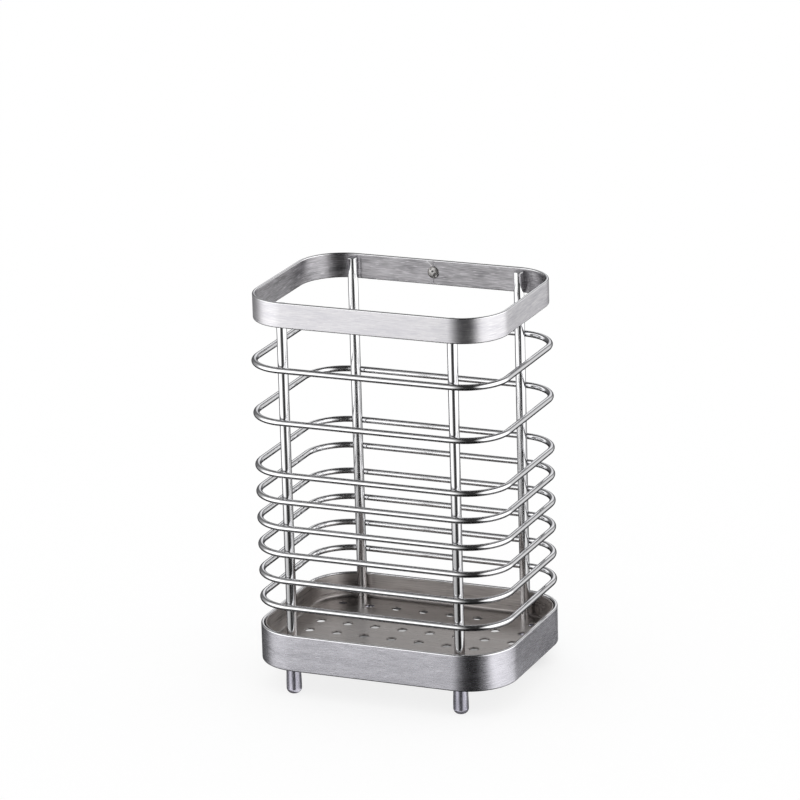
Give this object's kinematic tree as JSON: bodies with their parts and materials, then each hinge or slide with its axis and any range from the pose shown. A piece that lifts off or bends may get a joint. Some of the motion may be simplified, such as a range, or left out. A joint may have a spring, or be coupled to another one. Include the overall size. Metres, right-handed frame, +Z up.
{
  "type": "utensil drying rack",
  "caption": "Upright wire cage for drying kitchen utensils: rings and uprights welded between two steel bands round a perforated pan, on short capped feet.",
  "frame": {"origin": "middle of the plan, on the surface that the feet stand on", "axes": "+Z up, +X to the right along the long side, +Y to the rear, where the band seams are"},
  "size_m": [0.1, 0.075, 0.15],
  "materials": {
    "band_steel": "satin stainless steel, brushed along the strip",
    "wire_steel": "electropolished stainless steel wire",
    "pan_steel": "satin stainless steel sheet",
    "weld_steel": "weld spot, slightly heat tinted",
    "clear_plastic": "clear soft plastic with a faint lavender tint"
  },
  "bodies": {
    "root": {"top_band": "band_steel", "seam_weld": "weld_steel", "ring_1": "wire_steel", "ring_2": "wire_steel", "ring_3": "wire_steel", "ring_4": "wire_steel", "ring_5": "wire_steel", "ring_6": "wire_steel", "ring_7": "wire_steel", "ring_8": "wire_steel", "upright_front_left": "wire_steel", "upright_front_right": "wire_steel", "upright_rear_left": "wire_steel", "upright_rear_right": "wire_steel", "lower_band": "band_steel", "drain_pan": "pan_steel", "foot_cap_front_left": "clear_plastic", "foot_cap_front_right": "clear_plastic", "foot_cap_rear_left": "clear_plastic", "foot_cap_rear_right": "clear_plastic"}
  },
  "joints": []
}
